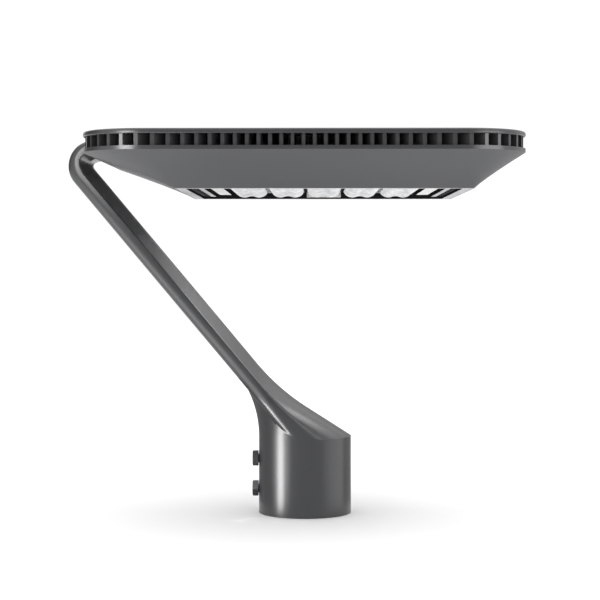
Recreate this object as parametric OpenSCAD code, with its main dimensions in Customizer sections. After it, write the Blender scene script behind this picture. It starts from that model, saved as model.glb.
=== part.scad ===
// Post top area light: a cast arm on a slip-over collar carries a flat square
// LED head above the pole. Z is up, the pole's axis is X = Y = 0, z = 0 is the
// lower face of the collar, and the arm rises on the -X side.

/* [Collar] */
// Outside diameter of the collar that slips over the pole's tenon
collar_d = 101; // [95:1:112]
// Bore for a 76 mm steel tenon
bore_d = 78.5; // [70:0.5:82]
// Height of the collar, from its lower face to its round rim
collar_h = 84; // [80:1:96]
// Depth of the bore, up to the shoulder that rests on the tenon
bore_depth = 72; // [66:1:74]
// Radius of the wire hole above the shoulder
wire_hole_r = 9; // [6:0.5:12]

/* [Clamp bolts] */
// Thread diameter of the two clamp bolts
bolt_d = 10; // [8:1:12]
// Width across the flats of a bolt's hexagon head
bolt_af = 16; // [13:0.5:18]
// Thickness of a bolt's head
bolt_head_h = 6.4; // [5:0.2:8]
// Height of the lower bolt above the collar's lower face
bolt_low_z = 26; // [20:1:30]
// Distance between the two bolts
bolt_spacing = 33; // [26:1:36]

/* [Arm] */
// Width of the arm, front to back
arm_w = 100; // [90:1:106]
// Thickness of the arm at its crest
arm_t = 23; // [20:0.5:25]
// Height above the rim at which the arm's back line would meet the collar's wall
heel_h = 40.5; // [38:0.5:48]
// Radius with which the collar's wall turns into the arm's back
heel_r = 92; // [70:1:100]
// Slope of the scoop that rises from the rim, in degrees
scoop_angle = 32.4; // [30:0.2:36]
// Radius between the scoop and the straight of the arm
scoop_r = 240; // [120:5:240]
// Outside radius of the bend under the head
bend_r = 27; // [23:1:31]
// How far the bend stands out past the side of the head
bend_reach = 32.5; // [29:0.5:40]

/* [Head] */
// Height of the whole light
total_h = 403.4; // [385:1:430]
// Side of the square head
head_w = 441; // [428:1:460]
// Corner radius of the head
head_r = 64; // [54:1:74]
// Thickness of the top cover
cover_t = 5; // [4:0.5:7]
// Height of the open fin band between the cover and the lower housing
fin_h = 11.7; // [10:0.1:15]
// Thickness of the base plate that carries the fins
rim_h = 3.7; // [3:0.1:5]
// Height of the sloping sides of the lower housing
slope_h = 34.7; // [33:0.1:40]
// Wall of the lower housing, measured upright
wall_t = 3.2; // [2.8:0.1:3.6]

/* [Fins] */
// Number of fins that a full turn of the head would hold
fin_count = 128; // [96:4:144]
// Thickness of a fin
fin_t = 3.4; // [2.6:0.1:4]
// How far the fins stand back from the edge of the cover
fin_setback = 2.4; // [1.5:0.1:3]
// Depth of the fins, inwards from their outer edge
fin_depth = 36; // [28:1:38]

/* [Window] */
// Distance from the side of the head to the window, the same in front and behind
window_margin = 70.5; // [64:0.5:76]
// Distance of the window's centre from the pole's axis, away from the arm
window_x = 20; // [12:0.5:24]
// Width of the bezel's face
bezel_w = 10; // [9:0.5:12]
// Thickness of the bezel
bezel_t = 3; // [2.5:0.1:4]

/* [Optics] */
// Lenses in a row from left to right
lens_columns = 5; // [4:1:5]
// Rows of lenses on each board
lens_rows = 4; // [3:1:4]
// Side of a light-emitting package
led_w = 3.5; // [2.5:0.1:4.5]

/* [Hidden] */
$fn = 64;

// Overrun of a cut past the face that it opens
over = 1;
// Gap between two pieces that fit into one another
fit_gap = 0.3;
// Thickness of the gasket between the arm and the head
arm_gasket_t = 1;
// Running clearance of a bolt in its thread, on the radius
thread_gap = 0.05;

// Finishes
charcoal = "#3f4042";
black_steel = "#26272a";
pale_grey = "#b9babc";
soft_white = "#eceded";
clear_lens = "#dfe6ea";
board_white = "#f4f4f0";
led_yellow = "#e6cf5a";
rubber_black = "#1b1b1c";
zinc = "#a9adb0";
driver_grey = "#8f9498";

collar_r = collar_d / 2;
bore_r = bore_d / 2;
arm_half = arm_w / 2;
head_half = head_w / 2;
window_w = head_w - 2 * window_margin;

// Levels of the head, from the top down
cover_z = total_h - cover_t;
fin_z = cover_z - fin_h;
rim_z = fin_z - rim_h;
window_z = rim_z - slope_h;

// Middle plane of the arm: the back line starts at the heel and touches the bend
heel = [-collar_r, collar_h + heel_h];
bend_c = [-head_half - bend_reach + bend_r, total_h - bend_r];
heel_to_bend = bend_c - heel;
arm_angle = atan2(heel_to_bend[1], -heel_to_bend[0]) - asin(bend_r / norm(heel_to_bend));
along = [-cos(arm_angle), sin(arm_angle)];
across = [sin(arm_angle), cos(arm_angle)];
heel_len = heel_r * tan((90 - arm_angle) / 2);
back_start = heel + heel_len * along;
back_end = bend_c - bend_r * across;
crown_lead_share = 0.24;
crown_start = back_start + arm_t * across;
crown_end = back_end + arm_t * (across - crown_lead_share * along);

// The scoop runs from the rim to the crown line, with a fillet between them
scoop_dir = [-cos(scoop_angle), sin(scoop_angle)];
rim_point = [collar_r, collar_h];
scoop_len = cross(crown_start - rim_point, along) / cross(scoop_dir, along);
scoop_corner = rim_point + scoop_len * scoop_dir;
scoop_fillet = scoop_r * tan((arm_angle - scoop_angle) / 2);
crown_fillet_end = scoop_corner + scoop_fillet * along;

// Thickness of the arm where it meets the head, and the depth of its inner corner
arm_end_t = total_h - fin_z;
inner_corner_share = 0.69;
arm_end = [-head_half - arm_gasket_t, total_h];
inner_end = [arm_end[0], total_h - arm_end_t];
inner_corner = crown_end + inner_corner_share * arm_t * along;

// Points of the two guide curves, back and crown, for a share s of each stretch
function mix(a, b, s) = a + s * (b - a);
function smooth(s) = s * s * (3 - 2 * s);
function clip(s) = max(0, min(1, s));
function bezier(a, b, c, s) = mix(mix(a, b, s), mix(b, c, s), s);

// Back of the heel: upright wall, then an arc that ends on the back line
heel_straight = heel_h - heel_len;
heel_arc = heel_r * (90 - arm_angle) * PI / 180;
heel_c = [-collar_r - heel_r, collar_h + heel_straight];
function heel_back(s) =
    let (run = s * (heel_straight + heel_arc), turn = (run - heel_straight) / heel_r * 180 / PI)
    run < heel_straight ? [-collar_r, collar_h + run] : heel_c + heel_r * [cos(turn), sin(turn)];

// Crown of the heel: scoop line, fillet and crown line, as two joined curves
crown_top = back_start + arm_t * across;
crown_run = max(norm(crown_top - crown_fillet_end), 0);
scoop_line = scoop_len - scoop_fillet;
fillet_run = 2 * scoop_fillet;
function heel_crown(s) =
    let (run = s * (scoop_line + fillet_run + crown_run))
    run < scoop_line ? rim_point + run * scoop_dir
    : run < scoop_line + fillet_run
        ? bezier(scoop_corner - scoop_fillet * scoop_dir, scoop_corner, crown_fillet_end,
                 (run - scoop_line) / fillet_run)
    : crown_fillet_end + (run - scoop_line - fillet_run) * along;

// Back and crown of the bend, which turns the arm level and into the head
bend_turn = 180 - arm_angle;
bend_arc = bend_r * bend_turn * PI / 180;
bend_level = arm_end[0] - bend_c[0];
function bend_back(s) =
    let (run = s * (bend_arc + bend_level), turn = 90 + bend_turn - run / bend_r * 180 / PI)
    run < bend_arc ? bend_c + bend_r * [cos(turn), sin(turn)]
                   : [bend_c[0] + run - bend_arc, total_h];
function bend_crown(s) = bezier(crown_end, inner_corner, inner_end, s);

// Half outline of a section from the middle of the back to the crest, as shares of
// the half width and of the thickness. A flat back turns with the radius rb into the
// upright side. At the height ts a tight crease of radius ri starts a sloping flank,
// which turns with the radius rt into a crest that is crowned a little.
back_steps = 4;
side_steps = 10;
edge_steps = 3;
flank_steps = 5;
top_steps = 4;
crest_steps = 4;
flank_angle = 15;
crest_crown = 0.8;
function section(t, rb, ts, ri, rt) =
    let (
        foot = [arm_half - ri + ri * sin(flank_angle), ts + ri * cos(flank_angle)],
        brow_z = t - crest_crown - rt * (1 - cos(flank_angle)),
        brow = [foot[0] - (brow_z - foot[1]) / tan(flank_angle), brow_z],
        crest_half = brow[0] - rt * sin(flank_angle)
    )
    concat(
        [for (i = [0:back_steps - 1]) [(arm_half - rb) / arm_half * i / back_steps, 0]],
        [for (i = [0:side_steps - 1]) let (a = 90 * i / side_steps)
            [(arm_half - rb + rb * sin(a)) / arm_half, rb * (1 - cos(a)) / t]],
        [for (i = [0:edge_steps - 1]) let (a = mix(90, flank_angle, i / edge_steps))
            [(arm_half - ri + ri * sin(a)) / arm_half, (ts + ri * cos(a)) / t]],
        [for (i = [0:flank_steps - 1]) let (p = mix(foot, brow, i / flank_steps))
            [p[0] / arm_half, p[1] / t]],
        [for (i = [0:top_steps - 1]) let (a = flank_angle * (1 - i / top_steps))
            [(crest_half + rt * sin(a)) / arm_half, (t - crest_crown - rt * (1 - cos(a))) / t]],
        [for (i = [0:crest_steps]) let (k = 1 - i / crest_steps)
            [crest_half * k / arm_half, (t - crest_crown * k * k) / t]]
    );
strap_back_r = 10.5;
strap_crease_r = 1.6;
strap_top_r = 12;
strap_side_share = 0.49;
strap_half = section(arm_t, strap_back_r, strap_side_share * arm_t, strap_crease_r, strap_top_r);
// At the head the section is fuller, to carry the four bolts
end_back_r = 4;
end_side_share = 0.6;
end_half = section(arm_end_t, end_back_r, end_side_share * arm_end_t, strap_crease_r, strap_top_r);
// Points of the round rim, matched to the strap's by the way that they face
rim_back_angle = 162;
rim_crease_angle = 74;
rim_foot_angle = 70;
rim_brow_angle = 34;
rim_crest_angle = 26;
rim_angles = concat(
    [for (i = [0:back_steps - 1]) mix(180, rim_back_angle, i / back_steps)],
    [for (i = [0:side_steps - 1]) mix(rim_back_angle, rim_crease_angle, i / side_steps)],
    [for (i = [0:edge_steps - 1]) mix(rim_crease_angle, rim_foot_angle, i / edge_steps)],
    [for (i = [0:flank_steps - 1]) mix(rim_foot_angle, rim_brow_angle, i / flank_steps)],
    [for (i = [0:top_steps - 1]) mix(rim_brow_angle, rim_crest_angle, i / top_steps)],
    [for (i = [0:crest_steps]) rim_crest_angle * (1 - i / crest_steps)]
);
rim_half = [for (a = rim_angles) [sin(a) * collar_r / arm_half, (1 + cos(a)) / 2]];

// A full ring at a station: b and c are the back and the crown in the middle plane
function ring(b, c, half) =
    let (n = len(half))
    concat(
        [for (i = [0:n - 1]) let (p = mix(b, c, half[i][1])) [p[0], -half[i][0] * arm_half, p[1]]],
        [for (i = [n - 2:-1:1]) let (p = mix(b, c, half[i][1])) [p[0], half[i][0] * arm_half, p[1]]]
    );

heel_stations = 20;
crown_lag_share = 1.2;
blend_end_share = 0.95;
straight_stations = 3;
bend_stations = 12;
end_blend_shares = [0.3, 0.6];
arm_rings = concat(
    [for (z = [0, collar_h]) ring([-collar_r, z], [collar_r, z], rim_half)],
    [for (i = [1:heel_stations]) let (s = i / heel_stations, k = smooth(clip(s / blend_end_share)))
        ring(heel_back(s), heel_crown(1 - pow(1 - s, crown_lag_share)), mix(rim_half, strap_half, k))],
    [for (i = [1:straight_stations]) let (s = i / straight_stations)
        ring(mix(back_start, back_end, s), mix(crown_top, crown_end, s), strap_half)],
    [for (i = [1:bend_stations]) let (s = i / bend_stations, k = smooth(clip((s - end_blend_shares[0]) / end_blend_shares[1])))
        ring(bend_back(s), bend_crown(s), mix(strap_half, end_half, k))]
);

// Closed solid through a list of rings with equal point counts. Each end face
// starts at the middle point, which never lies on a flat of the outline.
module loft(rings) {
    n = len(rings[0]);
    m = len(rings);
    h = floor(n / 2);
    polyhedron(
        points = [for (r = rings) for (p = r) p],
        faces = concat(
            [[for (i = [0:n - 1]) (i + h) % n]],
            [for (j = [0:m - 2]) for (i = [0:n - 1]) [j * n + i, (j + 1) * n + i, (j + 1) * n + (i + 1) % n]],
            [for (j = [0:m - 2]) for (i = [0:n - 1]) [j * n + i, (j + 1) * n + (i + 1) % n, j * n + (i + 1) % n]],
            [[for (i = [n - 1:-1:0]) (m - 1) * n + (i + h) % n]]
        ),
        convexity = 6
    );
}

// Wire passage through the middle of the arm, from the collar's shoulder to the head
function middle(b, c) = mix(b, c, 0.5);
way_shares = [0.4, 0.5, 0.75];
way_r = 4;
elbow_r = 4.6;

// Joint between the arm and the head: a pad in the head with four bolts
pad_t = 14;
pad_half = 54;
pad_wall = 6;
arm_bolt_r = 3;
arm_bolt_head_r = 5;
arm_bolt_head_h = 6;
arm_bolt_grip = 16;
arm_bolt_y_shares = [-0.7, -0.34, 0.34, 0.7];
joint_share = 0.5;
joint_z = mix(fin_z, cover_z, joint_share);
pad_x = -head_half;
cable_r = 3.2;
way_path = [
    [0, bore_depth],
    middle(heel_back(way_shares[0]), heel_crown(way_shares[0])),
    middle(back_start, crown_top),
    middle(back_end, crown_end),
    middle(bend_back(way_shares[1]), bend_crown(way_shares[1])),
    middle(bend_back(way_shares[2]), bend_crown(way_shares[2])),
    [arm_end[0] + over, joint_z]
];

// Clamp bolts
bolt_r = bolt_d / 2;
bolt_seat = 0.6;
bolt_tip = 0.4;
bolt_zs = [bolt_low_z, bolt_low_z + bolt_spacing];

module along_x(x, y, z) { translate([x, y, z]) rotate([0, 90, 0]) children(); }

// A round channel that follows a path in the plane Y = 0
module wire_way() {
    for (i = [0:len(way_path) - 2]) {
        p = way_path[i];
        q = way_path[i + 1];
        translate([p[0], 0, p[1]]) sphere(r = i == 0 ? wire_hole_r : elbow_r, $fn = 32);
        translate([p[0], 0, p[1]]) rotate([0, atan2(q[0] - p[0], q[1] - p[1]), 0])
            cylinder(h = norm(q - p), r = way_r, $fn = 32);
    }
}

module arm_casting() {
    color(charcoal)
    difference() {
        loft(arm_rings);
        translate([0, 0, -over]) cylinder(h = bore_depth + over, r = bore_r, $fn = 96);
        wire_way();
        for (z = bolt_zs) along_x(-collar_r - over, 0, z) cylinder(h = collar_r - bore_r + 2 * over, r = bolt_r);
        for (s = arm_bolt_y_shares)
            along_x(arm_end[0] - arm_bolt_grip, s * arm_half, joint_z)
                cylinder(h = arm_bolt_grip + over, r = arm_bolt_r + thread_gap, $fn = 24);
    }
}

// Hexagon bolt along X with its head at the -X end and a rounded head top
module clamp_bolt(z) {
    head_x = -collar_r - bolt_seat - bolt_head_h;
    tip_x = -bore_r - bolt_tip;
    shank = tip_x - head_x - bolt_head_h;
    corner_r = bolt_af / 2 / cos(30);
    top_r = bolt_af / 2 * 0.94;
    color(black_steel)
    union() {
        intersection() {
            along_x(head_x, 0, z) rotate(30) cylinder(h = bolt_head_h, r = corner_r, $fn = 6);
            along_x(head_x, 0, z) cylinder(h = bolt_head_h, r1 = top_r, r2 = top_r + 2 * bolt_head_h);
        }
        along_x(tip_x - shank - over, 0, z) cylinder(h = shank + over, r = bolt_r - thread_gap);
    }
}
module upper_clamp_bolt() { clamp_bolt(bolt_zs[1]); }
module lower_clamp_bolt() { clamp_bolt(bolt_zs[0]); }

// Round-headed machine screw, head down at z = 0 and shank upwards, socket in the head
module screw(head_r, head_h, shank_r, shank_l) {
    socket_r = head_r * 0.5;
    difference() {
        union() {
            cylinder(h = head_h, r = head_r, $fn = 32);
            translate([0, 0, head_h]) cylinder(h = shank_l, r = shank_r, $fn = 32);
        }
        translate([0, 0, -over]) cylinder(h = head_h * 0.6 + over, r = socket_r, $fn = 6);
    }
}

// Flat outlines, centred, with exact round corners
module round_rect(x, y, r) {
    square([x - 2 * r, y], center = true);
    square([x, y - 2 * r], center = true);
    for (i = [-1, 1]) for (j = [-1, 1]) translate([i * (x / 2 - r), j * (y / 2 - r)]) circle(r = r);
}
module frame_2d(x, y, r, w) {
    difference() {
        round_rect(x, y, r);
        round_rect(x - 2 * w, y - 2 * w, max(r - w, w / 4));
    }
}

// Rounded rectangle as points, for the lofted shells
corner_steps = 12;
function corner(cx, cy, r, from) =
    [for (i = [0:corner_steps]) let (a = from + 90 * i / corner_steps) [cx + r * cos(a), cy + r * sin(a)]];
function outline(x0, x1, y, r) = concat(
    corner(x1 - r, y - r, r, 0), corner(x0 + r, y - r, r, 90),
    corner(x0 + r, -y + r, r, 180), corner(x1 - r, -y + r, r, 270));
function at_z(points, z) = [for (p = points) [p[0], p[1], z]];

// Sloping sides: the head's outline at the rim shrinks to the window's at the bottom
lip = 1;
window_r = 4;
window_half = window_w / 2;
hollow = 1.12;
slope_levels = [0, 0.12, 0.3, 0.5, 0.75, 1];
function slope_ring(z, up) =
    let (h = (z - up - window_z) / slope_h, s = h > 1 ? h : pow(max(h, 0), hollow))
    at_z(outline(mix(window_x - window_half - lip, -head_half, s), mix(window_x + window_half + lip, head_half, s),
                 mix(window_half + lip, head_half, s), mix(window_r, head_r, s)), z);
function square_ring(half, z) = at_z(outline(-half, half, half, head_r - head_half + half), z);

// Levels and plan of the head's inside
ledge_t = 4;
ledge_z = window_z + bezel_t;
ledge_top = ledge_z + ledge_t;
optics_h = 10.3;
floor_z = window_z + optics_h;
floor_t = 4;
tub_wall = 4;
tub_half = window_half - 2;
tub_r = 8;
root_half = head_half - fin_setback - fin_depth;
deck_wall = 22;
deck_half = root_half - deck_wall;
deck_right = window_x + tub_half - tub_wall;
deck_shift = (deck_right - deck_half) / 2;
deck_w = deck_right + deck_half;

// Screws: every hole is wider than its screw by the thread gap
m3 = 1.5;
m4 = 2;
m3_head = [2.75, 2];
m4_head = [3.6, 2.4];
ledge_mid = (window_half - bezel_w + tub_half) / 2;
ledge_spread = 0.6;
function ring_places(half, spread) = concat(
    [for (i = [-1, 1]) for (j = [-1, 1]) [i * half, j * spread * half]],
    [for (i = [-1, 1]) for (j = [-1, 1]) [i * spread * half, j * half]]);
housing_places = ring_places(ledge_mid, ledge_spread);
bezel_mid = window_half - bezel_w / 2;
bezel_places = [for (i = [-1:1]) for (j = [-1:1]) if (abs(i) + abs(j) > 0) [i * bezel_mid, j * bezel_mid]];
cover_spread = 0.55;
cover_screw_inset = 4.7;
cover_screw_half = root_half - cover_screw_inset;
cover_places = ring_places(cover_screw_half, cover_spread);

module at_places(places, x, z) { for (p = places) translate([x + p[0], p[1], z]) children(); }

// Fins as one outline: how far a line at angle a, shifted sideways by o, runs
// before it leaves a rounded square
function reach(a, o, half, r) =
    let (
        d = [cos(a), sin(a)], q = [-o * sin(a), o * cos(a)],
        sx = (half - sign(d[0]) * q[0]) / abs(d[0]), sy = (half - sign(d[1]) * q[1]) / abs(d[1]),
        p = q + min(sx, sy) * d, c = [sign(p[0]), sign(p[1])] * (half - r),
        m = q - c, b = m * d
    )
    min(abs(p[0]), abs(p[1])) > half - r ? q + (sqrt(b * b - m * m + r * r) - b) * d : p;
fin_tip_half = head_half - fin_setback;
fin_tip_r = head_r - fin_setback;
root_r = fin_tip_r - fin_depth;
comb = [for (i = [0:fin_count - 1]) let (a = 360 * i / fin_count - 90) each [
    reach(a, -fin_t / 2, root_half, root_r), reach(a, -fin_t / 2, fin_tip_half, fin_tip_r),
    reach(a, fin_t / 2, fin_tip_half, fin_tip_r), reach(a, fin_t / 2, root_half, root_r)
]];

// Gaskets lie in grooves of the head casting
seal_t = 1.4;
seal_w = 3;
seal_half = head_half - 2.2;
cover_seal_w = 5;
cover_seal_out = 7;

// Head casting: base plate, fins, deck for the cover and tub in one piece
module heat_sink() {
    pocket_x = pad_x + pad_t;
    pocket_w = -root_half - pocket_x;
    tub_h = fin_z - floor_z;
    color(charcoal)
    difference() {
        union() {
            translate([0, 0, rim_z]) linear_extrude(rim_h) round_rect(head_w, head_w, head_r);
            translate([0, 0, fin_z]) linear_extrude(fin_h) polygon(comb);
            translate([pad_x, -pad_half, fin_z]) cube([pad_t, 2 * pad_half, fin_h]);
            for (y = [-pad_half, pad_half - pad_wall])
                translate([pocket_x - over, y, fin_z]) cube([pocket_w + 2 * over, pad_wall, fin_h]);
            translate([window_x, 0, floor_z]) linear_extrude(tub_h)
                round_rect(2 * tub_half, 2 * tub_half, tub_r);
        }
        translate([deck_shift, 0, fin_z]) linear_extrude(fin_h + over)
            round_rect(deck_w, 2 * deck_half, tub_r);
        translate([window_x, 0, floor_z + floor_t]) linear_extrude(tub_h)
            round_rect(2 * (tub_half - tub_wall), 2 * (tub_half - tub_wall), tub_r / 2);
        translate([pocket_x, -pad_half + pad_wall, fin_z])
            cube([pocket_w, 2 * (pad_half - pad_wall), fin_h + over]);
        translate([0, 0, rim_z - over]) linear_extrude(seal_t + over)
            frame_2d(2 * seal_half, 2 * seal_half, head_r - head_half + seal_half, seal_w);
        translate([deck_shift, 0, cover_z - seal_t]) linear_extrude(seal_t + over)
            cover_seal_2d();
        at_places(cover_places, 0, cover_z - cover_screw_l) cylinder(h = cover_screw_l + over, r = m4 + thread_gap, $fn = 24);
        at_places(housing_places, window_x, floor_z - over) cylinder(h = floor_t + 2 * over, r = m4 + thread_gap, $fn = 24);
        at_places(lens_places, window_x, floor_z - over) cylinder(h = board_screw_l + over, r = m3 + thread_gap, $fn = 24);
        at_places(driver_places, window_x, floor_z + floor_t - driver_screw_l)
            cylinder(h = driver_screw_l + over, r = m3 + thread_gap, $fn = 24);
        along_x(pad_x - over, 0, joint_z) cylinder(h = pad_t + 2 * over, r = cable_r);
        along_x(-root_half - over, 0, joint_z) cylinder(h = root_half - deck_half + 2 * over, r = grommet_r);
        for (s = arm_bolt_y_shares) along_x(pad_x - over, s * arm_half, joint_z)
            cylinder(h = pad_t + 2 * over, r = arm_bolt_r + thread_gap, $fn = 24);
    }
}
cover_screw_l = 9;
board_screw_l = 3;
driver_screw_l = 3;
module cover_seal_2d() {
    frame_2d(deck_w + 2 * cover_seal_out, 2 * (deck_half + cover_seal_out), tub_r + cover_seal_out, cover_seal_w);
}

// Top cover with softened edges, and counterbores for its screws
cover_soft = 2.5;
soft_steps = 4;
cover_bore = 2.8;
module top_cover() {
    edge = cover_soft * min(1, cover_t / (2 * cover_soft));
    color(charcoal)
    difference() {
        loft(concat(
            [square_ring(head_half - edge / 4, cover_z), square_ring(head_half, cover_z + edge / 4)],
            [for (i = [0:soft_steps]) let (a = 90 * i / soft_steps)
                square_ring(head_half - edge * (1 - cos(a)), total_h - edge * (1 - sin(a)))]));
        at_places(cover_places, 0, cover_z - over) cylinder(h = cover_t + 2 * over, r = m4 + thread_gap, $fn = 24);
        at_places(cover_places, 0, total_h - cover_bore) cylinder(h = cover_bore + over, r = m4_head[0] + fit_gap, $fn = 32);
    }
}
module cover_screws() {
    color(black_steel)
    at_places(cover_places, 0, total_h - cover_bore + m4_head[1]) mirror([0, 0, 1])
        screw(m4_head[0], m4_head[1], m4, cover_t - cover_bore + cover_screw_l - over);
}
module cover_gasket() {
    color(rubber_black)
    translate([deck_shift, 0, cover_z - seal_t]) linear_extrude(seal_t) cover_seal_2d();
}

// Sloping lower housing, open inside, with the ledge that carries the bezel
module lower_housing() {
    color(charcoal)
    difference() {
        loft([for (h = slope_levels) slope_ring(window_z + h * slope_h, 0)]);
        loft([for (h = slope_levels) slope_ring(mix(ledge_top, rim_z + over, h), wall_t)]);
        translate([window_x, 0, window_z - over]) linear_extrude(bezel_t + over)
            round_rect(window_w + fit_gap, window_w + fit_gap, window_r);
        translate([window_x, 0, window_z]) linear_extrude(slope_h)
            round_rect(window_w - 2 * bezel_w, window_w - 2 * bezel_w, window_r);
        at_places(housing_places, window_x, window_z) cylinder(h = slope_h, r = m4 + thread_gap, $fn = 24);
        at_places(housing_places, window_x, window_z) cylinder(h = bezel_t + m4_head[1], r = m4_head[0] + fit_gap, $fn = 32);
        at_places(bezel_places, window_x, window_z) cylinder(h = slope_h, r = m3 + thread_gap, $fn = 24);
    }
}
module housing_gasket() {
    color(rubber_black)
    translate([0, 0, rim_z]) linear_extrude(seal_t)
        frame_2d(2 * seal_half, 2 * seal_half, head_r - head_half + seal_half, seal_w);
}
module housing_screws() {
    grip = floor_z - ledge_z - m4_head[1] + floor_t;
    color(zinc)
    at_places(housing_places, window_x, ledge_z) screw(m4_head[0], m4_head[1], m4, grip - over);
}

// Bezel round the window, in the rabbet of the housing
bezel_screw_l = 3;
module window_bezel() {
    color(pale_grey)
    difference() {
        translate([window_x, 0, window_z]) linear_extrude(bezel_t)
            frame_2d(window_w, window_w, window_r, bezel_w);
        at_places(bezel_places, window_x, window_z - over) cylinder(h = bezel_t + 2 * over, r = m3 + thread_gap, $fn = 24);
        at_places(bezel_places, window_x, window_z - over) cylinder(h = m3_head[1] + over, r = m3_head[0] + fit_gap, $fn = 32);
    }
}
module bezel_screws() {
    color(zinc)
    at_places(bezel_places, window_x, window_z) screw(m3_head[0], m3_head[1], m3, bezel_t - m3_head[1] + bezel_screw_l);
}
module window_gasket() {
    color(rubber_black)
    difference() {
        translate([window_x, 0, ledge_top]) linear_extrude(floor_z - ledge_top)
            frame_2d(2 * tub_half, 2 * tub_half, tub_r, bezel_w);
        at_places(housing_places, window_x, window_z) cylinder(h = slope_h, r = m4 + thread_gap, $fn = 24);
    }
}

// Frame round the optics, the two white reflectors and the connector's cover
frame_gap = 8.5;
frame_half = window_half - bezel_w - frame_gap;
frame_w = 5.5;
frame_drop = 8;
module lens_frame() {
    color(pale_grey)
    translate([window_x + lip, 0, floor_z - frame_drop]) linear_extrude(frame_drop)
        frame_2d(2 * frame_half, 2 * frame_half, window_r, frame_w);
}
reflector_w = 13.4;
reflector_gap = 3.6;
side_gap = 5;
end_gap = 6;
field_half = frame_half - frame_w - side_gap - reflector_w - reflector_gap;
field_end = frame_half - frame_w - end_gap;
lens_pitch_x = 2 * field_half / lens_columns;
lens_pitch_y = field_end / lens_rows;
lobe_r = lens_pitch_x / 4;
lobe_share = 0.625;
lobe_drop = lobe_share * lobe_r;
reflector_drop = 6.3;
module side_reflectors() {
    color(soft_white)
    for (i = [-1, 1]) translate([window_x + lip + i * (field_half + reflector_gap + reflector_w / 2), 0, floor_z - reflector_drop])
        linear_extrude(reflector_drop) round_rect(reflector_w, 2 * field_end - fit_gap, over);
}
connector_w = lens_pitch_x - 2 * lip;
connector_y = end_gap - 1.5;
connector_drop = 9;
module connector_cover() {
    color(soft_white)
    translate([window_x + lip, field_end + connector_y / 2 + over, floor_z - connector_drop])
        linear_extrude(connector_drop) round_rect(connector_w, connector_y, over);
}

// Boards and lenses; k is -1 for the front half and 1 for the rear half
board_t = 1.6;
board_z = floor_z - board_t;
plate_t = 1.6;
plate_z = board_z - plate_t;
led_h = 1.2;
led_pocket = 1.35;
board_gap = 0.8;
column_xs = [for (i = [0:lens_columns - 1]) (i - (lens_columns - 1) / 2) * lens_pitch_x];
row_ys = [for (j = [0:lens_rows - 1]) (j + 0.5) * lens_pitch_y];
lobe_shift = lens_pitch_x / 4;
lens_screw_rows = [1, lens_rows - 1];
lens_screw_columns = [-1, 1];
function half_lens_places(k) = [for (i = lens_screw_columns) for (j = lens_screw_rows)
    [lip + i * (field_half - lens_pitch_x), k * j * lens_pitch_y]];
lens_places = concat(half_lens_places(-1), half_lens_places(1));
module field_plate(k, z, t) {
    translate([window_x + lip, k * (field_end / 2 + board_gap / 4), z]) linear_extrude(t)
        square([2 * field_half, field_end - board_gap / 2], center = true);
}
module lobes(k, z) {
    for (x = column_xs) for (y = row_ys) for (i = [-1, 1])
        translate([window_x + lip + x + i * lobe_shift, k * y, z]) children();
}
module lens_set(k) {
    sink = lobe_r - lobe_drop;
    color(clear_lens)
    difference() {
        union() {
            field_plate(k, plate_z, plate_t);
            intersection() {
                lobes(k, plate_z + sink) sphere(r = lobe_r, $fn = 48);
                translate([window_x - window_half, -window_half, plate_z - lobe_r])
                    cube([window_w, window_w, lobe_r + plate_t / 8]);
            }
        }
        lobes(k, board_z - led_pocket) translate([-led_w / 2 - fit_gap, -led_w / 2 - fit_gap, 0])
            cube([led_w + 2 * fit_gap, led_w + 2 * fit_gap, led_pocket + over]);
        at_places(half_lens_places(k), window_x, plate_z - over) cylinder(h = plate_t + 2 * over, r = m3 + thread_gap, $fn = 24);
    }
}
module front_lenses() { lens_set(-1); }
module rear_lenses() { lens_set(1); }
module led_board(k) {
    color(board_white)
    difference() {
        field_plate(k, board_z, board_t);
        at_places(half_lens_places(k), window_x, board_z - over) cylinder(h = board_t + 2 * over, r = m3 + thread_gap, $fn = 24);
    }
}
module front_led_board() { led_board(-1); }
module rear_led_board() { led_board(1); }
module leds(k) {
    color(led_yellow)
    lobes(k, board_z - led_h) translate([-led_w / 2, -led_w / 2, 0]) cube([led_w, led_w, led_h]);
}
module front_leds() { leds(-1); }
module rear_leds() { leds(1); }
module lens_screws() {
    color(zinc)
    at_places(lens_places, window_x, plate_z - m3_head[1])
        screw(m3_head[0], m3_head[1], m3, plate_t + board_t + board_screw_l - fit_gap);
}

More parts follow.
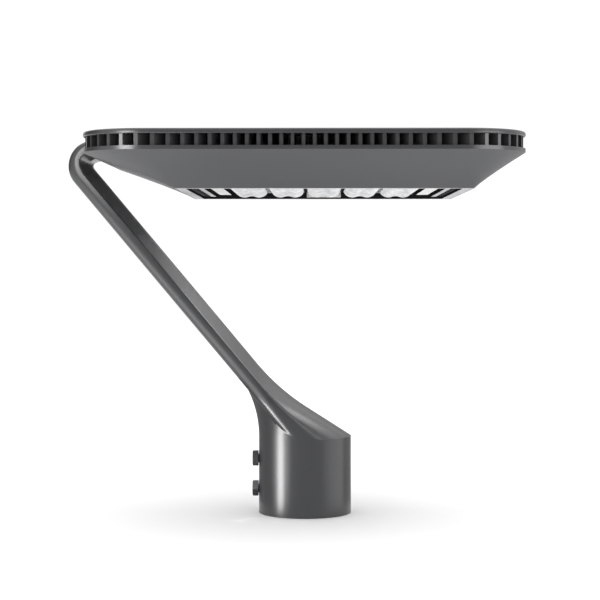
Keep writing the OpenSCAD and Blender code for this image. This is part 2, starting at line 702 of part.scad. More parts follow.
// Electrical parts on the floor of the tub
inner_z = floor_z + floor_t;
tub_in = tub_half - tub_wall;
tub_depth = cover_z - inner_z;
driver_shares = [1.04, 0.45, 0.72];
driver_place_shares = [0.12, -0.38];
driver_size = [driver_shares[0] * tub_in, driver_shares[1] * tub_in, driver_shares[2] * tub_depth];
driver_x = driver_place_shares[0] * tub_in;
driver_y = driver_place_shares[1] * tub_in;
driver_r = 4;
ear_share = 0.47;
ear_l = 14;
ear_t = 2;
ear = [ear_l, ear_share * driver_size[1], ear_t];
ear_x = (driver_size[0] + ear[0]) / 2;
driver_places = [for (i = [-1, 1]) for (j = [-1, 1]) [driver_x + i * (ear_x + over), driver_y + j * ear[1] / 4]];
module driver() {
    color(driver_grey)
    translate([window_x + driver_x, driver_y, inner_z]) linear_extrude(driver_size[2])
        round_rect(driver_size[0], driver_size[1], driver_r);
}
module driver_brackets() {
    color(zinc)
    difference() {
        for (i = [-1, 1]) {
            translate([window_x + driver_x + i * ear_x, driver_y, inner_z + ear[2] / 2])
                cube([ear[0], ear[1], ear[2]], center = true);
            translate([window_x + driver_x + i * (driver_size[0] + ear[2]) / 2, driver_y, inner_z + driver_size[2] / 2])
                cube([ear[2], ear[1], driver_size[2]], center = true);
        }
        at_places(driver_places, window_x, inner_z - over) cylinder(h = ear[2] + 2 * over, r = m3 + thread_gap, $fn = 24);
    }
}
module driver_screws() {
    color(black_steel)
    at_places(driver_places, window_x, inner_z + ear[2] + m3_head[1]) mirror([0, 0, 1])
        screw(m3_head[0], m3_head[1], m3, ear[2] + driver_screw_l - fit_gap);
}
surge_shares = [0.375, 0.236, 0.66];
surge_place_shares = [-0.49, 0.42];
surge_size = [surge_shares[0] * tub_in, surge_shares[1] * tub_in, surge_shares[2] * tub_depth];
surge_x = surge_place_shares[0] * tub_in;
surge_y = surge_place_shares[1] * tub_in;
module surge_protector() {
    color(black_steel)
    translate([window_x + surge_x, surge_y, inner_z]) linear_extrude(surge_size[2])
        round_rect(surge_size[0], surge_size[1], driver_r);
}
terminal_shares = [0.32, 0.153, 0.5];
terminal_share_x = 0.07;
terminal_size = [terminal_shares[0] * tub_in, terminal_shares[1] * tub_in, terminal_shares[2] * tub_depth];
terminal_x = terminal_share_x * tub_in;
way_count = 3;
way_depth = 6;
terminal_hole_r = 3;
module terminal_block() {
    pitch = terminal_size[0] / way_count;
    color(soft_white)
    translate([window_x + terminal_x, surge_y, inner_z])
    difference() {
        translate([-terminal_size[0] / 2, -terminal_size[1] / 2, 0]) cube(terminal_size);
        for (i = [0:way_count - 1]) translate([(i - (way_count - 1) / 2) * pitch, 0, terminal_size[2] - way_depth])
            cylinder(h = way_depth + over, r = terminal_hole_r, $fn = 24);
    }
}

// Parts of the joint between the arm and the head
module arm_gasket() {
    color(rubber_black)
    difference() {
        along_x(pad_x - arm_gasket_t, 0, joint_z) linear_extrude(arm_gasket_t)
            round_rect(fin_h - 2 * over, arm_w - 2 * end_back_r, end_back_r);
        along_x(pad_x - arm_gasket_t - over, 0, joint_z) cylinder(h = arm_gasket_t + 2 * over, r = cable_r);
        for (s = arm_bolt_y_shares) along_x(pad_x - arm_gasket_t - over, s * arm_half, joint_z)
            cylinder(h = arm_gasket_t + 2 * over, r = arm_bolt_r + thread_gap, $fn = 24);
    }
}
module arm_bolts() {
    reach_in = pad_t + arm_gasket_t + arm_bolt_grip - over;
    color(black_steel)
    for (s = arm_bolt_y_shares) translate([pad_x + pad_t + arm_bolt_head_h, s * arm_half, joint_z])
        rotate([0, -90, 0]) screw(arm_bolt_head_r, arm_bolt_head_h, arm_bolt_r, reach_in);
}
grommet_r = 4.4;
grommet_lip = 2;
module wire_grommet() {
    length = root_half - deck_half;
    color(rubber_black)
    difference() {
        union() {
            along_x(-root_half, 0, joint_z) cylinder(h = length, r = grommet_r - thread_gap);
            along_x(-deck_half, 0, joint_z) cylinder(h = grommet_lip, r = grommet_r + grommet_lip / 5);
        }
        along_x(-root_half - over, 0, joint_z) cylinder(h = length + grommet_lip + 2 * over, r = cable_r);
    }
}

arm_casting();
upper_clamp_bolt();
lower_clamp_bolt();
arm_gasket();
arm_bolts();
wire_grommet();
heat_sink();
top_cover();
cover_gasket();
cover_screws();
lower_housing();
housing_gasket();
housing_screws();
window_bezel();
bezel_screws();
window_gasket();
lens_frame();
side_reflectors();
connector_cover();
front_lenses();
rear_lenses();
lens_screws();
front_led_board();
rear_led_board();
front_leds();
rear_leds();
driver();
driver_brackets();
driver_screws();
surge_protector();
terminal_block();
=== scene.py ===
# %% [markdown]
# # Post top area light
#
# A square LED head stands over a car park on a cast aluminium arm, whose collar slips over
# the tenon of a pole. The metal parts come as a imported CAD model, so this script gives
# them their finish, lays the arm's skin and the lens plates in finer steps, and lights
# them the way a product picture does. Everything is in metres, with Z up the pole.

import math

import bmesh
import bpy
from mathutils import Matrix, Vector


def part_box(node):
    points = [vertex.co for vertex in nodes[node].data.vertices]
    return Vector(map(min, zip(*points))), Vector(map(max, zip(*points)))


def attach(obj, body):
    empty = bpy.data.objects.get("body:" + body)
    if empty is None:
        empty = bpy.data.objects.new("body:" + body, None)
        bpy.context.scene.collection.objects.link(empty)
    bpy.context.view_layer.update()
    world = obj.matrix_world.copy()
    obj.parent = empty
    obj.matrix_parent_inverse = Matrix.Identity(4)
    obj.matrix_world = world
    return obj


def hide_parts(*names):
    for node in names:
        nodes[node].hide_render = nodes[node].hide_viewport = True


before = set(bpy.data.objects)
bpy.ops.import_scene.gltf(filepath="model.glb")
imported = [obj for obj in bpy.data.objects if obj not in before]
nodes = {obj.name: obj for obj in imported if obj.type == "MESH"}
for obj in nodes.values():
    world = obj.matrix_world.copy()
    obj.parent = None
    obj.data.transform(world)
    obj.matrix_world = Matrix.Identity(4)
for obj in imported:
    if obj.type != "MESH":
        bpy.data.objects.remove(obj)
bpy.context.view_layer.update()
print("CAD nodes:", len(nodes))

# %% [markdown]
# Sizes on paper are millimetres and the scene is in metres, so one short name does the
# change. Colours are picked from a screen as sRGB hex values, while shaders add up light
# in linear values, so one function turns the first into the second.

# %% Units and colours
mm = 0.001


def linear(hex_colour):
    """Turns an sRGB hex value into the linear colour that a shader needs."""
    screen = [int(hex_colour[i:i + 2], 16) / 255 for i in (1, 3, 5)]
    light = [v / 12.92 if v <= 0.04045 else ((v + 0.055) / 1.055) ** 2.4 for v in screen]
    return (*light, 1.0)


print("mid grey on a screen is", round(linear("#808080")[0], 3), "in linear light")

# %% [markdown]
# Blender keeps what a thing is made of, its data, apart from the thing that stands in the
# scene. Meshes, lamps and the camera are all placed in the same way, so one helper does it.


# %% A helper that places things in the scene
def place_in_scene(name, data):
    """Makes an object of a mesh, lamp or camera and adds it to the scene."""
    obj = bpy.data.objects.new(name, data)
    bpy.context.collection.objects.link(obj)
    return obj


# %% [markdown]
# A material is a small graph. One helper adds a node, sets its inputs by name or by number,
# and links whatever is itself the output of another node, so that a finish below reads as
# a short list of what the real surface does. Blender's colour mix is numbered: input 0 is
# the share, and inputs 6 and 7 are the two colours.

# %% A helper for shader nodes
def add(tree, kind, settings=None, **inputs):
    """Adds a node; inputs are values or outputs of other nodes, and i6 is input 6."""
    node = tree.nodes.new(kind)
    for name, value in (settings or {}).items():
        setattr(node, name, value)
    for name, value in inputs.items():
        numbered = name[0] == "i" and name[1:].isdigit()
        socket = node.inputs[int(name[1:]) if numbered else name.replace("_", " ")]
        if isinstance(value, bpy.types.NodeSocket):
            tree.links.new(value, socket)
        else:
            socket.default_value = value
    return node


def new_finish(name):
    """Starts a material and hands back it, its node tree and its surface shader."""
    material = bpy.data.materials.new(name)
    material.use_nodes = True
    tree = material.node_tree
    shader = next(n for n in tree.nodes if n.type == "BSDF_PRINCIPLED")
    return material, tree, shader


# %% [markdown]
# ## Powder-coated cast aluminium
#
# The arm and the head are die-cast aluminium under a graphite powder coat. The powder
# melts into a satin film with a faint orange peel, which breaks up reflections without
# hiding the shape. On the real coat its dimples are about half a millimetre across; they
# are drawn 0.9 mm wide here, as finer ones wouldn't show. A slow change of tone keeps the
# large faces from looking like plastic sheet. A scanned texture could show the same, but
# noise fits any shape without seams. The lower housing has the same coat with a matte
# finish, in a lighter tone that paints in the floor's reflection which the matte finish
# takes away, and the frame and bezel of the window a light grey one.


# %% Graphite powder coat
def powder_coat(name, dark, light, roughness, shine=0.5):
    """Satin powder coat over a casting: two close tones and an orange peel."""
    cloud_size, grit_size = 90 * mm, 1.6 * mm
    peel_size, peel_height = 0.9 * mm, 0.035 * mm
    material, tree, shader = new_finish(name)
    place = add(tree, "ShaderNodeTexCoord").outputs["Object"]
    cloud = add(tree, "ShaderNodeTexNoise", Vector=place, Scale=1 / cloud_size,
                Detail=3.0, Roughness=0.55)
    grit = add(tree, "ShaderNodeTexNoise", Vector=place, Scale=1 / grit_size, Detail=2.0)
    tones = add(tree, "ShaderNodeMix", {"data_type": "RGBA"}, i0=cloud.outputs["Fac"],
                i6=linear(dark), i7=linear(light))
    grain = add(tree, "ShaderNodeMix", {"data_type": "RGBA", "blend_type": "SOFT_LIGHT"},
                i0=0.10, i6=tones.outputs[2], i7=grit.outputs["Color"])
    tree.links.new(grain.outputs[2], shader.inputs["Base Color"])
    peel = add(tree, "ShaderNodeTexNoise", Vector=place, Scale=1 / peel_size, Detail=1.0)
    bump = add(tree, "ShaderNodeBump", Height=peel.outputs["Fac"],
               Strength=0.25, Distance=peel_height)
    tree.links.new(bump.outputs["Normal"], shader.inputs["Normal"])
    shader.inputs["Roughness"].default_value = roughness
    shader.inputs["IOR"].default_value = 1.5
    shader.inputs["Specular IOR Level"].default_value = shine
    return material


graphite = powder_coat("Graphite powder coat on cast aluminium", "#3c3d3e", "#404142",
                       roughness=0.3)
# The lower housing's coat is matte, and its lighter tone is painted light for the floor's
# reflection.
lightened_matte_graphite = powder_coat("Matte graphite powder coat in a lighter painted tone", "#535455", "#575859",
                             roughness=0.5, shine=0.15)
silver_grey = powder_coat("Light grey powder coat on aluminium", "#b2b3b5", "#b8b9bb",
                          roughness=0.6, shine=0.1)
print("powder coats:", graphite.name, "|", lightened_matte_graphite.name, "|", silver_grey.name)

# %% [markdown]
# ## Small metal parts
#
# The clamp bolts are black-oxide steel: a thin dark layer that takes away some of the
# metal's shine, so the shader's metallic value is a little over half. The screws under
# the head are zinc plated, a bare metal, so there the value is full and the colour is
# that of the reflection. Handling leaves scuffs, a slow change in how sharp the shine is.


# %% Black-oxide and zinc-plated steel
def plated_steel(name, tone, roughness, metallic=1.0):
    """A plated or blackened steel with fine scuffs in its shine."""
    scuff_size, smoother, rougher = 2 * mm, 0.06, 0.08
    material, tree, shader = new_finish(name)
    place = add(tree, "ShaderNodeTexCoord").outputs["Object"]
    scuff = add(tree, "ShaderNodeTexNoise", Vector=place, Scale=1 / scuff_size, Detail=4.0)
    shine = add(tree, "ShaderNodeMapRange", Value=scuff.outputs["Fac"],
                i3=roughness - smoother, i4=roughness + rougher)
    tree.links.new(shine.outputs[0], shader.inputs["Roughness"])
    shader.inputs["Base Color"].default_value = linear(tone)
    shader.inputs["Metallic"].default_value = metallic
    return material


black_oxide = plated_steel("Black-oxide steel", "#3c3d40", 0.42, metallic=0.6)
zinc = plated_steel("Zinc-plated steel", "#b4b8bb", 0.34)
print("steels:", black_oxide.name, "|", zinc.name)

# %% [markdown]
# ## Plastics, rubber and paint
#
# The reflectors and the connector's cover are matte white plastic, and the gaskets are
# black silicone rubber. Moulds for such parts have a fine eroded texture, which leaves a
# grain that softens the shine. The circuit boards' solder mask, the LEDs' phosphor, the
# driver's anodised case and the black paint that stands for shade round the optics are as
# fine-grained, so the same function makes them with their own tone, roughness and shine.


# %% Moulded plastics, rubber and black paint for shade
def moulded(name, tone, roughness, shine=0.5):
    """A moulded plastic or rubber with a fine eroded grain."""
    grain_size, grain_depth = 0.7 * mm, 0.02 * mm
    material, tree, shader = new_finish(name)
    place = add(tree, "ShaderNodeTexCoord").outputs["Object"]
    grain = add(tree, "ShaderNodeTexNoise", Vector=place, Scale=1 / grain_size, Detail=2.0)
    tone_shift = add(tree, "ShaderNodeMix", {"data_type": "RGBA", "blend_type": "SOFT_LIGHT"},
                     i0=0.08, i6=linear(tone), i7=grain.outputs["Color"])
    bump = add(tree, "ShaderNodeBump", Height=grain.outputs["Fac"],
               Strength=0.3, Distance=grain_depth)
    tree.links.new(tone_shift.outputs[2], shader.inputs["Base Color"])
    tree.links.new(bump.outputs["Normal"], shader.inputs["Normal"])
    shader.inputs["Roughness"].default_value = roughness
    shader.inputs["Specular IOR Level"].default_value = shine
    return material


white_plastic = moulded("White moulded polycarbonate", "#dededd", 0.6, shine=0.15)
silicone = moulded("Black silicone rubber", "#1c1c1d", 0.7)
solder_mask = moulded("White solder mask on a circuit board", "#f0f0ec", 0.4)
phosphor = moulded("Yellow LED phosphor", "#e6cf62", 0.5)
driver_case = moulded("Grey anodised aluminium case", "#8f9498", 0.45)
black_plastic = moulded("Black moulded nylon", "#232426", 0.55)
# Black paint with no shine, used as painted shade round the optics and between the lenses.
painted_shade_black = moulded("Black paint for painted shade", "#232324", 0.8, shine=0.0)
print("moulded and painted:", white_plastic.name, "|", silicone.name, "|", painted_shade_black.name)

# %% [markdown]
# ## Clear acrylic
#
# The lenses are clear acrylic, moulded with a polished tool, over white circuit boards.
# What reaches the eye is the board's white, broken up by the lens: each lobe gathers it
# into pale glints beside greyer places. Real refraction through forty twin lenses would
# leave grain in a short render, so these glints are painted: the material is mostly a
# white surface with cells of two tones, painted glints and greyer places, a little clear,
# under a polished skin that is gently rippled.


# %% Clear moulded acrylic
def clear_acrylic():
    """Polished acrylic over a white board, with painted glints in cells of two tones."""
    glint_cell_size, ripple_size, ripple_height = 7 * mm, 5 * mm, 0.25 * mm
    material, tree, shader = new_finish("Clear moulded acrylic")
    place = add(tree, "ShaderNodeTexCoord").outputs["Object"]
    glint_cells = add(tree, "ShaderNodeTexVoronoi", Vector=place, Scale=1 / glint_cell_size)
    # Painted glints: cells of white and grey stand in for the light that the lenses refract.
    glints = add(tree, "ShaderNodeMix", {"data_type": "RGBA"}, i0=glint_cells.outputs["Distance"],
                 i6=linear("#ffffff"), i7=linear("#c4c7c9"))
    tree.links.new(glints.outputs[2], shader.inputs["Base Color"])
    shader.inputs["Transmission Weight"].default_value = 0.2
    shader.inputs["Roughness"].default_value = 0.12
    shader.inputs["IOR"].default_value = 1.49
    ripple = add(tree, "ShaderNodeTexNoise", Vector=place, Scale=1 / ripple_size, Detail=1.0)
    bump = add(tree, "ShaderNodeBump", Height=ripple.outputs["Fac"],
               Strength=0.35, Distance=ripple_height)
    tree.links.new(bump.outputs["Normal"], shader.inputs["Normal"])
    return material


acrylic = clear_acrylic()
print("lens material:", acrylic.name)

# %% [markdown]
# Each node of the CAD model is one kind of piece, so a list of names under each finish is
# enough to dress the whole light.

# %% Give every CAD node its finish
finishes = {
    graphite: ["arm_casting", "heat_sink", "top_cover"],
    lightened_matte_graphite: ["lower_housing"],
    silver_grey: ["window_bezel", "lens_frame"],
    black_oxide: ["upper_clamp_bolt", "lower_clamp_bolt", "arm_bolts", "cover_screws",
                  "driver_screws"],
    zinc: ["housing_screws", "bezel_screws", "lens_screws", "driver_brackets"],
    white_plastic: ["side_reflectors", "connector_cover", "terminal_block"],
    silicone: ["arm_gasket", "wire_grommet", "cover_gasket", "housing_gasket", "window_gasket"],
    solder_mask: ["front_led_board", "rear_led_board"],
    phosphor: ["front_leds", "rear_leds"],
    driver_case: ["driver"],
    black_plastic: ["surge_protector"],
    acrylic: ["front_lenses", "rear_lenses"],
}
for finish, names in finishes.items():
    for name in names:
        nodes[name].data.materials.clear()
        nodes[name].data.materials.append(finish)
print("finished nodes:", sum(len(names) for names in finishes.values()))

# %% [markdown]
# ## Painted shade round the optics
#
# The recess round the optics lies in shade, so from the side the window shows two thin
# light rails, a dark band and the lenses in it. That shade is painted here: black paint
# with no shine is a second material on some faces of a piece, picked by which way they
# look and where they are. Upright faces round the window and of the reflectors are black,
# as are the tub's floor between frame and lenses and the window gasket; the lens frame
# keeps its two rails light, and so does the bezel its lower face. A painted mask image
# could do it too, but the faces already end where the painted shade does.


# %% Painted shade round the optics
def mask(obj, picked):
    """Paints black shade on the faces of an object that a test picks."""
    obj.data.materials.append(painted_shade_black)
    for polygon in obj.data.polygons:
        if picked(polygon):
            polygon.material_index = 1


def upright(polygon):
    """True for the faces that look to a side, within 30 degrees of level."""
    return abs(polygon.normal.z) < 0.5


frame_low, frame_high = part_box("lens_frame")
rail = 7 * mm
tub_reach = 3 * mm


def not_a_rail(polygon):
    """All of the lens frame apart from the lower faces of its two rails."""
    x = polygon.center.x
    return upright(polygon) or frame_low.x + rail < x < frame_high.x - rail


def in_the_window(polygon):
    """The floor of the tub that shows between frame and lenses."""
    c = polygon.center
    between = frame_low.x - rail < c.x < frame_high.x + rail
    inside = between and frame_low.y - rail < c.y < frame_high.y + rail
    return inside and polygon.normal.z < -0.5 and abs(c.z - frame_high.z) < tub_reach


# Black paint on these faces is painted shade for the window's recess.
mask(nodes["window_bezel"], upright)
mask(nodes["lens_frame"], not_a_rail)
mask(nodes["heat_sink"], in_the_window)
mask(nodes["window_gasket"], lambda polygon: True)
mask(nodes["side_reflectors"], upright)
shade_painted_parts = ("window_bezel", "lens_frame", "heat_sink", "window_gasket", "side_reflectors")
for name in shade_painted_parts:
    print(name, "has", sum(p.material_index for p in nodes[name].data.polygons), "black faces")

# %% [markdown]
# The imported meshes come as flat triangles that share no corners. Welding the corners and
# shading the faces as smooth makes a casting's curves read as curves, and splitting every
# edge that turns by more than 18 degrees keeps its real creases crisp.

# %% Smooth castings with crisp creases
def smooth_by_angle(obj, degrees=18):
    """Shades an object as smooth, apart from its edges sharper than the angle."""
    weld = obj.modifiers.new("weld", "WELD")
    weld.merge_threshold = 0.02 * mm
    split = obj.modifiers.new("crisp creases", "EDGE_SPLIT")
    split.split_angle = math.radians(degrees)
    split.use_edge_sharp = False
    if "custom_normal" in obj.data.attributes:
        obj.data.attributes.remove(obj.data.attributes["custom_normal"])
    for polygon in obj.data.polygons:
        polygon.use_smooth = True


for node in nodes.values():
    smooth_by_angle(node)
print("smoothed nodes:", len(nodes))

# %% [markdown]
# ## The arm
#
# The arm is one casting. Its round collar turns into a thin strap with a flat back and a
# low ridge on the inner face, climbs, and folds over into the head. CAD holds the same
# casting. Its skin is laid once more here in finer steps, because on the real one the
# strap dives straight into the upright wall of the collar, with only a fillet behind it,
# while CAD blends the two. A curve with a bevel couldn't change its outline on the way
# from a round rim to a strap, so the skin is lofted: two guide curves in the middle
# plane, the back and the crown, carry a ring of points from one station to the next. At
# the heel each ring is the outline of wall, fillet and strap together. All numbers of
# this part are millimetres and degrees, and a point of the middle plane is a pair of its
# x and its height z.

# %% Sizes of the arm
collar_r, collar_h = 50.5, 84.0
bore_r, bore_depth, wire_hole_r = 39.25, 72.0, 9.0
strap_half_width, strap_t = 50.0, 23.0
heel_h, heel_r = 40.5, 115.0
scoop_angle, scoop_r = 32.4, 240.0
bend_r, bend_reach = 27.0, 32.5
crown_setback, inner_corner_reach = 0.24 * strap_t, 0.69 * strap_t
head_half, head_top = 220.5, 403.4
arm_end_t, gasket_t = 16.7, 1.0
print("the collar is", 2 * collar_r, "mm across and the strap", 2 * strap_half_width, "mm wide")


# %% Sums with points of the middle plane
def plus(a, b, k=1.0):
    """Adds k times b to a."""
    return (a[0] + k * b[0], a[1] + k * b[1])


def mix(a, b, s):
    """The point that lies a share s of the way from a to b."""
    return tuple(p + s * (q - p) for p, q in zip(a, b))


def cross(a, b):
    """The cross product of two directions, zero when they are parallel."""
    return a[0] * b[1] - a[1] * b[0]


def dot(a, b):
    """How far a runs along b, when b is one long."""
    return a[0] * b[0] + a[1] * b[1]


def bezier(a, b, c, s):
    """A rounded corner from a to c, pulled towards b."""
    return mix(mix(a, b, s), mix(b, c, s), s)


def polar(radius, degrees):
    """The point at a distance and an angle from the origin."""
    return (radius * math.cos(math.radians(degrees)), radius * math.sin(math.radians(degrees)))


# %% [markdown]
# The back runs up the collar's wall, leans over in the heel's arc, climbs straight and
# turns round the bend. The crown starts at the rim on the far side as the line of the
# scoop, which a wide fillet turns into the strap. Where two straight lines meet, a cross
# product gives the corner, and the tangent of half the turn gives the fillet's length.


# %% The two guide curves
heel = (-collar_r, collar_h + heel_h)
bend_c = (-head_half - bend_reach + bend_r, head_top - bend_r)
rise = plus(bend_c, heel, -1)
arm_angle = math.degrees(math.atan2(rise[1], -rise[0]) - math.asin(bend_r / math.hypot(*rise)))
along = polar(1, 180 - arm_angle)
over = polar(1, 90 - arm_angle)
heel_len = heel_r * math.tan(math.radians((90 - arm_angle) / 2))
back_start = plus(heel, along, heel_len)
back_end = plus(bend_c, over, -bend_r)
crown_top = plus(back_start, over, strap_t)
crown_end = plus(plus(back_end, over, strap_t), along, -crown_setback)
scoop_dir = polar(1, 180 - scoop_angle)
rim_point = (collar_r, collar_h)
scoop_len = cross(plus(crown_top, rim_point, -1), along) / cross(scoop_dir, along)
scoop_corner = plus(rim_point, scoop_dir, scoop_len)
scoop_fillet = scoop_r * math.tan(math.radians((arm_angle - scoop_angle) / 2))
crown_fillet_end = plus(scoop_corner, along, scoop_fillet)
arm_end_x = -head_half - gasket_t
inner_end = (arm_end_x, head_top - arm_end_t)
inner_corner = plus(crown_end, along, inner_corner_reach)
print("the arm climbs at", round(arm_angle, 2), "degrees")


def heel_back(s):
    """The collar's upright wall, then the arc that leans it over."""
    straight, arc = heel_h - heel_len, math.radians(90 - arm_angle) * heel_r
    run = s * (straight + arc)
    if run < straight:
        return (-collar_r, collar_h + run)
    centre = (-collar_r - heel_r, collar_h + straight)
    return plus(centre, polar(heel_r, math.degrees((run - straight) / heel_r)))


def heel_crown(s):
    """The scoop's line from the rim, a wide fillet, and the strap's crown."""
    line, fillet = scoop_len - scoop_fillet, 2 * scoop_fillet
    rest = math.dist(crown_top, crown_fillet_end)
    run = s * (line + fillet + rest)
    if run < line:
        return plus(rim_point, scoop_dir, run)
    if run < line + fillet:
        fillet_start = plus(scoop_corner, scoop_dir, -scoop_fillet)
        return bezier(fillet_start, scoop_corner, crown_fillet_end, (run - line) / fillet)
    return plus(crown_fillet_end, along, run - line - fillet)


def bend_back(s):
    """Round the bend, then level into the head."""
    arc = bend_r * math.radians(180 - arm_angle)
    run = s * (arc + arm_end_x - bend_c[0])
    if run < arc:
        return plus(bend_c, polar(bend_r, 270 - arm_angle - math.degrees(run / bend_r)))
    return (bend_c[0] + run - arc, head_top)


def bend_crown(s):
    """Straight on, a tight inner corner, and straight into the head."""
    before, after = mix(crown_end, inner_corner, 0.5), mix(inner_corner, inner_end, 0.5)
    straight, corner = 0.3, 0.4
    if s < straight:
        return mix(crown_end, before, s / straight)
    if s < straight + corner:
        return bezier(before, inner_corner, after, (s - straight) / corner)
    return mix(after, inner_end, (s - straight - corner) / straight)


# %% [markdown]
# Cut across, the strap has a flat back with rounded edges, upright sides, and on its inner
# face a sharp crease at each side, a flank that rises at 11 degrees and a soft brow to
# the crest. Every ring has the same number of points in each of these stretches, so that
# a crease on one ring meets the crease on the next.

# %% Counts of points, and the sizes of a section
wall_n, back_n, side_n, crease_n, flank_n, brow_n, crest_n = 24, 6, 14, 8, 12, 4, 4
flank_angle, crown_rise, crease_r, brow_r = 11.0, 0.5, 1.6, 8.0
back_edge_r, crease_height = 10.0, 13.2
end_edge_r, end_crease_height = 4.0, 0.6 * arm_end_t


# %% The outline of a section, from the middle of the back to the crest
def on_arc(middle, radius, angle):
    """A point of an arc: its angle runs from straight up out to the side."""
    return (middle[0] + radius * math.sin(angle), middle[1] + radius * math.cos(angle))


def section(thick, back_r, side):
    """Points (half width, height over the back) of the strap."""
    tilt = math.radians(flank_angle)
    crease_middle = (strap_half_width - crease_r, side)
    foot = on_arc(crease_middle, crease_r, tilt)
    brow_z = thick - crown_rise - brow_r * (1 - math.cos(tilt))
    brow = (foot[0] - (brow_z - foot[1]) / math.tan(tilt), brow_z)
    crest = brow[0] - brow_r * math.sin(tilt)
    flat = strap_half_width - back_r
    points = [(0.0, 0.0)] * wall_n
    points += [(flat * i / back_n, 0.0) for i in range(back_n)]
    for i in range(side_n):
        a = math.pi / 2 * i / (side_n - 1)
        points.append((flat + back_r * math.sin(a), back_r * (1 - math.cos(a))))
    for i in range(crease_n):
        a = math.pi / 2 + (tilt - math.pi / 2) * i / crease_n
        points.append(on_arc(crease_middle, crease_r, a))
    points += [mix(foot, brow, i / flank_n) for i in range(flank_n)]
    for i in range(brow_n):
        a = tilt * (1 - i / brow_n)
        drop = crown_rise + brow_r * (1 - math.cos(a))
        points.append((crest + brow_r * math.sin(a), thick - drop))
    for i in range(crest_n + 1):
        left = 1 - i / crest_n
        points.append((crest * left, thick - crown_rise * left ** 2))
    return points


strap = section(strap_t, back_edge_r, crease_height)
arm_end = section(arm_end_t, end_edge_r, end_crease_height)
print("half a section has", len(strap), "points")

# %% [markdown]
# The wall's fillet is widest in the middle and dies out towards the sides. For a given
# distance from the middle plane, the wall is an upright line, and an arc leans it over
# into the strap's back. Turning that round gives the half width of wall and fillet at
# any place, by halving an interval until it is small enough.

# %% Wall and fillet of the heel
fillet_reach, least_fillet = 41.0, 1.0
back_slope = math.tan(math.radians(arm_angle))


def wall_x(y, z):
    """Where the wall or its fillet stands, at a distance y from the middle plane."""
    wall = -math.sqrt(max(collar_r ** 2 - y * y, 0))
    radius = heel_r * max(1 - (y / fillet_reach) ** 2, 0)
    corner_z = heel[1] - (wall + collar_r) * back_slope
    up = z - corner_z + radius * math.tan(math.radians((90 - arm_angle) / 2))
    if up <= 0 or radius < least_fillet:
        return wall
    if up < radius * math.cos(math.radians(arm_angle)):
        return wall - radius + math.sqrt(radius ** 2 - up ** 2)
    return heel[0] - (z - heel[1]) / back_slope


def wall_half_width(x, z):
    """How wide wall and fillet are, to one side, at a point of the middle plane."""
    if wall_x(0, z) > x:
        return 0.0
    low, high = 0.0, collar_r
    halvings = 24
    for _ in range(halvings):
        middle = (low + high) / 2
        low, high = (middle, high) if wall_x(middle, z) <= x else (low, middle)
    return low


print("half width of the wall at the collar's middle:", round(wall_half_width(0, collar_h), 2))

# %% [markdown]
# A heel station is a slanting plane from a point of the back to a point of the crown. Its
# ring first follows the wall up to the depth where the strap's back starts, then the
# strap's own outline. On the inner face the bare round rim eases into the strap's flank
# as the station climbs, which makes the scoop. Above the heel the rings are plain
# sections, and round the bend they thin out to the arm's end in the head.


# %% Rings of points round the arm
def mirror(half):
    """Closes a ring: the given half, and its mirror image on the other side."""
    near = [(x * mm, -y * mm, z * mm) for y, x, z in half]
    return near + [(x, -y, z) for x, y, z in near[-2:0:-1]]


def ring(back, crown, half):
    """A closed ring through a half outline, whose heights run from back to crown."""
    thick = half[-1][1]
    return mirror([(y, *mix(back, crown, z / thick)) for y, z in half])


def ease(k):
    """A share from 0 to 1 that starts and stops gently."""
    k = min(max(k, 0), 1)
    return k * k * (3 - 2 * k)


# Low down the crown's points run ahead of the back's, and the flank's points are drawn to
# the crest. The flank is in full shape near the top of the heel. Above the last height
# the collar's wall no longer reaches the strap's sides.
crown_lead = 1.35
flank_done, flank_pull = 0.95, 0.35
wall_top = rim_point[1] + 60


def heel_half(s):
    """The half outline of wall, fillet and strap in the plane of one heel station."""
    back, crown = heel_back(s), heel_crown(1 - (1 - s) ** crown_lead)
    run = math.dist(back, crown)
    way = mix((0, 0), plus(crown, back, -1), 1 / run)
    rate = dot(way, over)
    start = max(-dot(plus(back, heel, -1), over) / rate, 0.0)
    points = []
    for i in range(wall_n):
        x, z = plus(back, way, start * (1 - math.cos(math.pi / 2 * i / wall_n)))
        points.append((wall_half_width(x, z), x, z))
    x, z = plus(back, way, start)
    inner = wall_half_width(x, z)
    outer = max(strap_half_width - back_edge_r, inner)
    points += [(inner + (outer - inner) * i / back_n, x, z) for i in range(back_n)]
    side, crease = wall_n + back_n, wall_n + back_n + side_n
    for y, depth in strap[side:crease]:
        x, z = plus(back, way, start + depth / rate)
        points.append((max(y, wall_half_width(x, z) if z < wall_top else 0), x, z))
    k = ease(s / flank_done)
    foot_depth = strap[crease][1]
    foot = start + foot_depth / rate
    for y, depth in strap[crease:]:
        share = (depth - foot_depth) / (strap_t - foot_depth)
        x, z = plus(back, way, foot + (run - foot) * share ** (1 - flank_pull * (1 - k)))
        across = collar_r * (2 * math.dist((x, z), back) / run - 1)
        bare = math.sqrt(max(collar_r ** 2 - across ** 2, 0))
        points.append((bare + (y - bare) * k, x, z))
    return points


